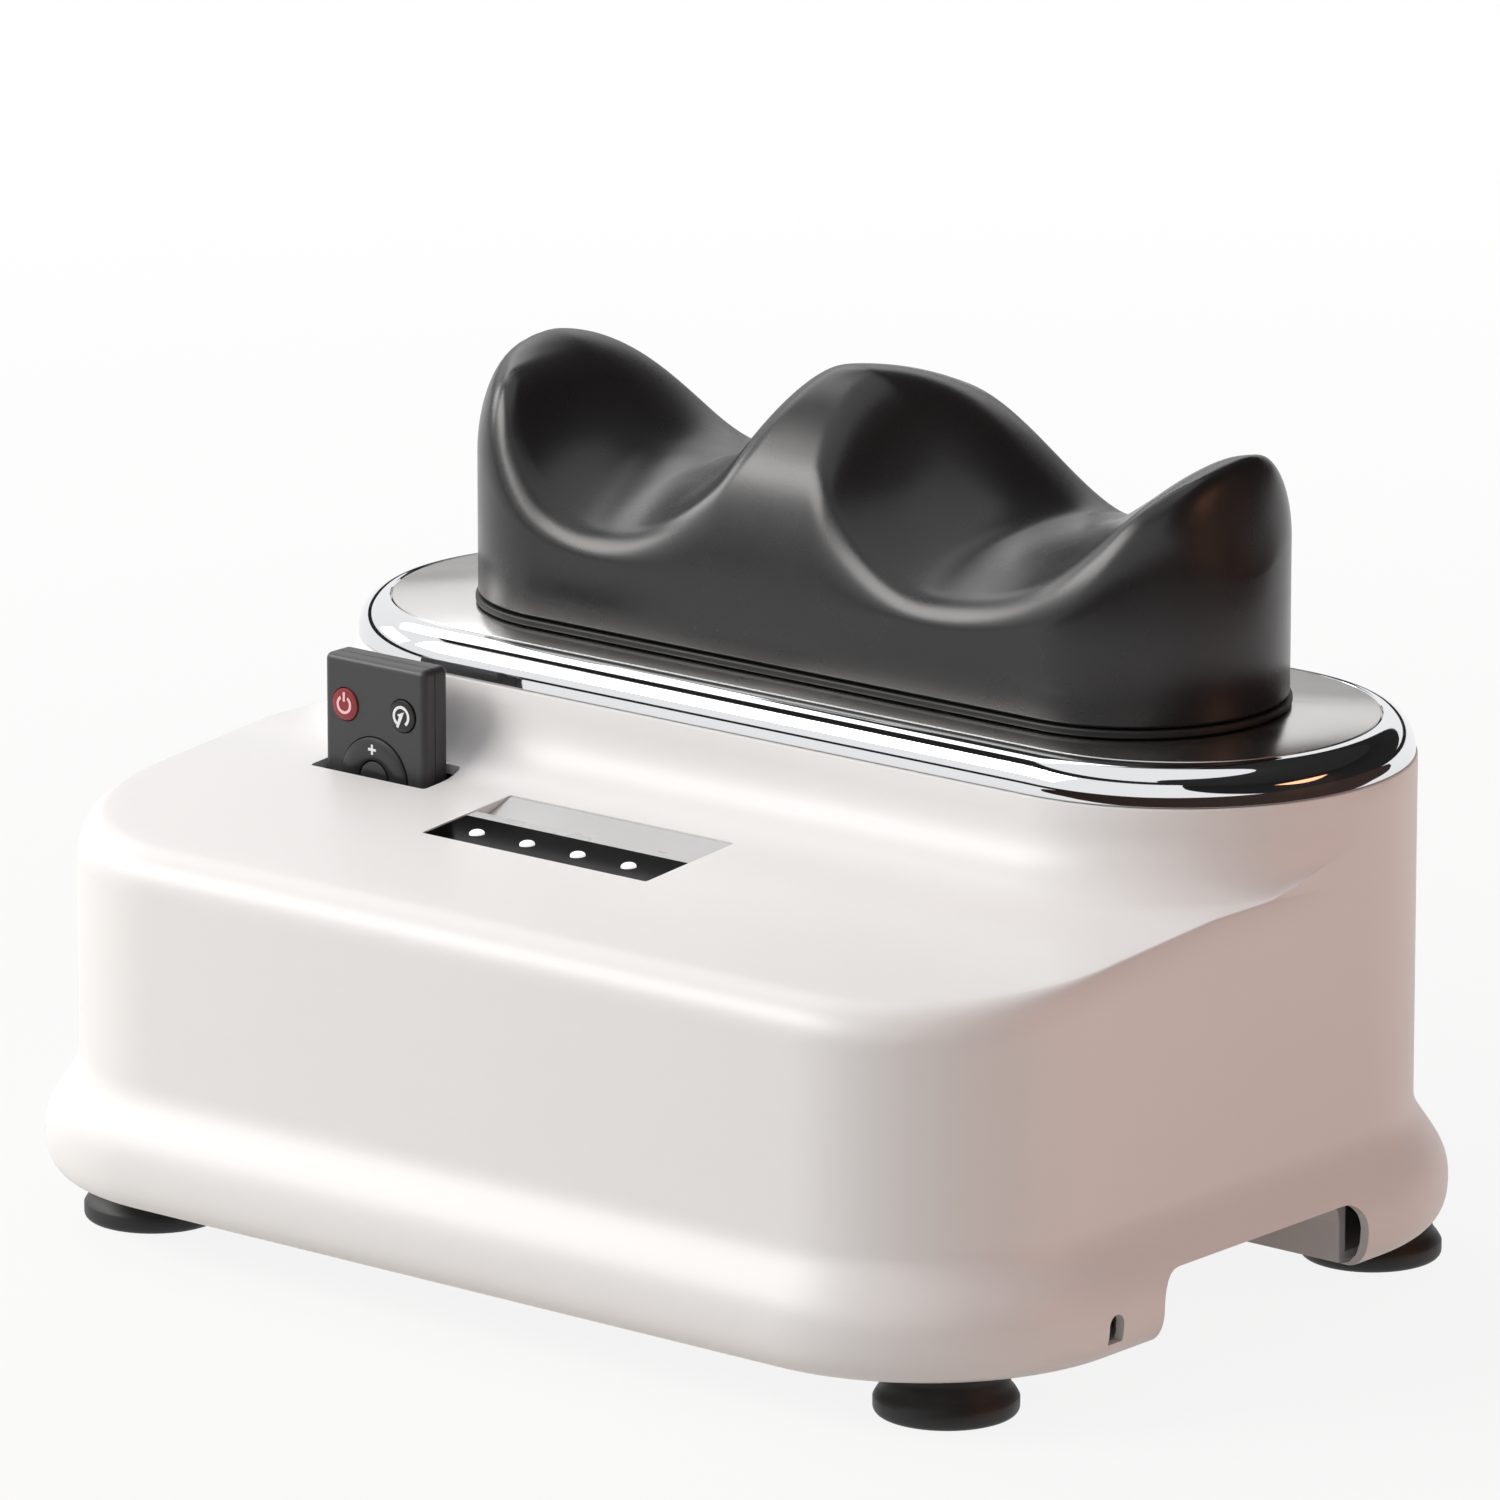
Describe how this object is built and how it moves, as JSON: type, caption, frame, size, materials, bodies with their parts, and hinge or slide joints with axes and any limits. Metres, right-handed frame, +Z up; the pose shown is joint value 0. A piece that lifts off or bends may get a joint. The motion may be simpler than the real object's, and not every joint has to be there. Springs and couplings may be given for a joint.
{
  "type": "chi machine leg massager",
  "caption": "Leg-swinging massager: a gloss housing with a sloping deck, a chrome-ringed top and a padded ankle rest that slides from side to side.",
  "frame": {"origin": "on the floor, under the middle of the housing", "axes": "+X along the ankle rest to the user's right as seen from the front, +Z up, the sloping deck faces -Y"},
  "size_m": [0.404, 0.294, 0.2667],
  "materials": {
    "gloss_white": "gloss white moulding",
    "chrome_ring": "bright chrome",
    "silver_plate": "polished silver",
    "black_plastic": "fine satin",
    "black_rubber": "matt rubber",
    "steel": "plain steel",
    "bronze": "sintered bronze",
    "smoked_lens": "smoked gloss",
    "light_grey": "satin light grey",
    "lamp_white": "milky lamp",
    "board_green": "circuit board",
    "grey_plastic": "dark grey satin",
    "charcoal_foam": "satin integral-skin foam",
    "key_red": "lit red key",
    "key_black": "black key"
  },
  "bodies": {
    "base": {"upper_housing": "gloss_white", "trim_ring": "chrome_ring", "top_plate": "silver_plate", "base_pan": "gloss_white", "suction_foot_front_left": "black_rubber", "suction_foot_front_right": "black_rubber", "suction_foot_rear_left": "black_rubber", "suction_foot_rear_right": "black_rubber", "foot_screw_front_left": "steel", "foot_screw_front_right": "steel", "foot_screw_rear_left": "steel", "foot_screw_rear_right": "steel", "display_lens": "smoked_lens", "display_bezel": "light_grey", "status_lamp_1": "lamp_white", "status_lamp_2": "lamp_white", "status_lamp_3": "lamp_white", "status_lamp_4": "lamp_white", "display_board": "board_green", "remote_holster": "black_plastic", "motor_can": "steel", "motor_bracket": "steel", "drive_belt": "black_rubber", "bearing_housing": "steel", "lower_bearing": "steel", "upper_bearing": "steel", "guide_rail_front": "chrome_ring", "guide_rail_rear": "chrome_ring", "rail_bridge_left": "steel", "rail_bridge_right": "steel", "control_board": "board_green", "transformer": "grey_plastic"},
    "ankle_rest": {"carriage": "grey_plastic", "slide_bush_front_left": "bronze", "slide_bush_front_right": "bronze", "slide_bush_rear_left": "bronze", "slide_bush_rear_right": "bronze", "footrest_base": "black_plastic", "footrest_cushion": "charcoal_foam"},
    "crank": {"crank_pulley": "grey_plastic", "crank_shaft": "steel", "crank_pin": "steel", "crank_roller": "bronze"},
    "motor_rotor": {"motor_shaft": "steel", "motor_pulley": "grey_plastic"},
    "remote": {"remote_case_front": "grey_plastic", "remote_case_back": "grey_plastic", "remote_battery_door": "grey_plastic", "remote_board": "board_green", "coin_cell": "steel"},
    "power_key": {"remote_power_key": "key_red"},
    "mode_key": {"remote_mode_key": "key_black"},
    "nav_ring": {"remote_nav_ring": "key_black"},
    "centre_key": {"remote_centre_key": "key_black"}
  },
  "joints": [
    {"name": "ankle_rest_swing", "type": "slide", "parent": "base", "child": "ankle_rest", "axis": [1, 0, 0], "range_m": [-0.016, 0.016]},
    {"name": "crank_spin", "type": "hinge", "parent": "base", "child": "crank", "pos_m": [0, 0.062, 0.097], "axis": [0, 0, 1], "continuous": true},
    {"name": "motor_spin", "type": "hinge", "parent": "base", "child": "motor_rotor", "pos_m": [0.092, 0.062, 0.097], "axis": [0, 0, 1], "continuous": true},
    {"name": "remote_lift", "type": "slide", "parent": "base", "child": "remote", "axis": [0, 0, 1], "range_m": [0, 0.06]},
    {"name": "power_key_press", "type": "slide", "parent": "remote", "child": "power_key", "axis": [0, 1, 0], "range_m": [0, 0.0008], "stiffness_N_per_m": 300},
    {"name": "mode_key_press", "type": "slide", "parent": "remote", "child": "mode_key", "axis": [0, 1, 0], "range_m": [0, 0.0008], "stiffness_N_per_m": 300},
    {"name": "nav_ring_press", "type": "slide", "parent": "remote", "child": "nav_ring", "axis": [0, 1, 0], "range_m": [0, 0.0008], "stiffness_N_per_m": 300},
    {"name": "centre_key_press", "type": "slide", "parent": "remote", "child": "centre_key", "axis": [0, 1, 0], "range_m": [0, 0.0008], "stiffness_N_per_m": 300}
  ],
  "couplings": [
    {"joint": "motor_spin", "follows": "crank_spin", "ratio": 4.4444}
  ]
}
